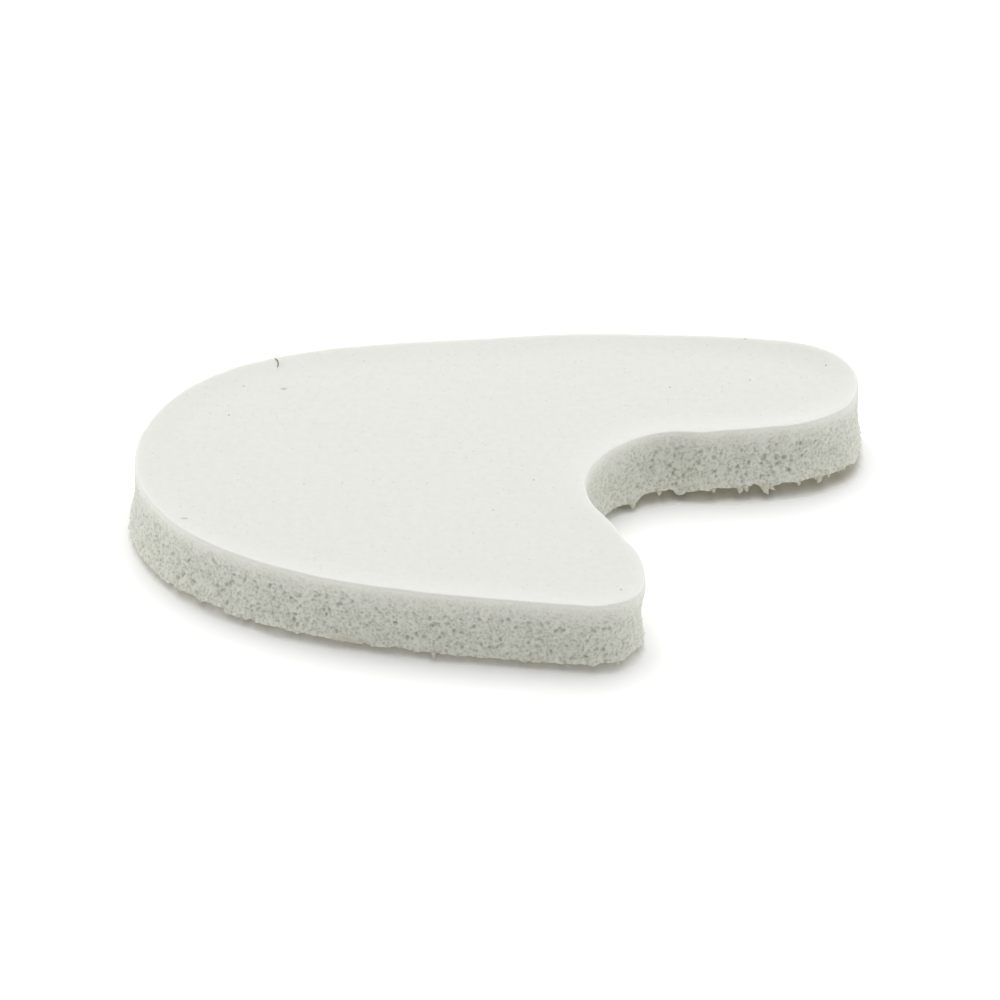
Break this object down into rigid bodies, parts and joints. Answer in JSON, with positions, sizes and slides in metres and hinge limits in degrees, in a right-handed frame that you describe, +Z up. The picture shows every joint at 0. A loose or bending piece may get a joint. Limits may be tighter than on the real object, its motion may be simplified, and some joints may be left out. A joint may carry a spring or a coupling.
{
  "type": "foam toe separator pad",
  "caption": "Flat white latex foam pad with a U-shaped notch between a long wing and a short lobe, and an adhesive film underneath, to separate and cushion toes.",
  "frame": {"origin": "on the resting surface, under the middle of the pad's outline", "axes": "+X along the pad towards the tip of the wing, +Y across it towards the far edge, +Z up through the foam to the smooth skin"},
  "size_m": [0.07, 0.0498, 0.0077],
  "materials": {
    "foam": "matte white latex foam, smooth skin on top and open cells on the cut wall",
    "adhesive": "tacky, slightly glossy, pale amber"
  },
  "bodies": {
    "root": {"foam_pad": "foam", "adhesive_film": "adhesive"}
  },
  "joints": []
}
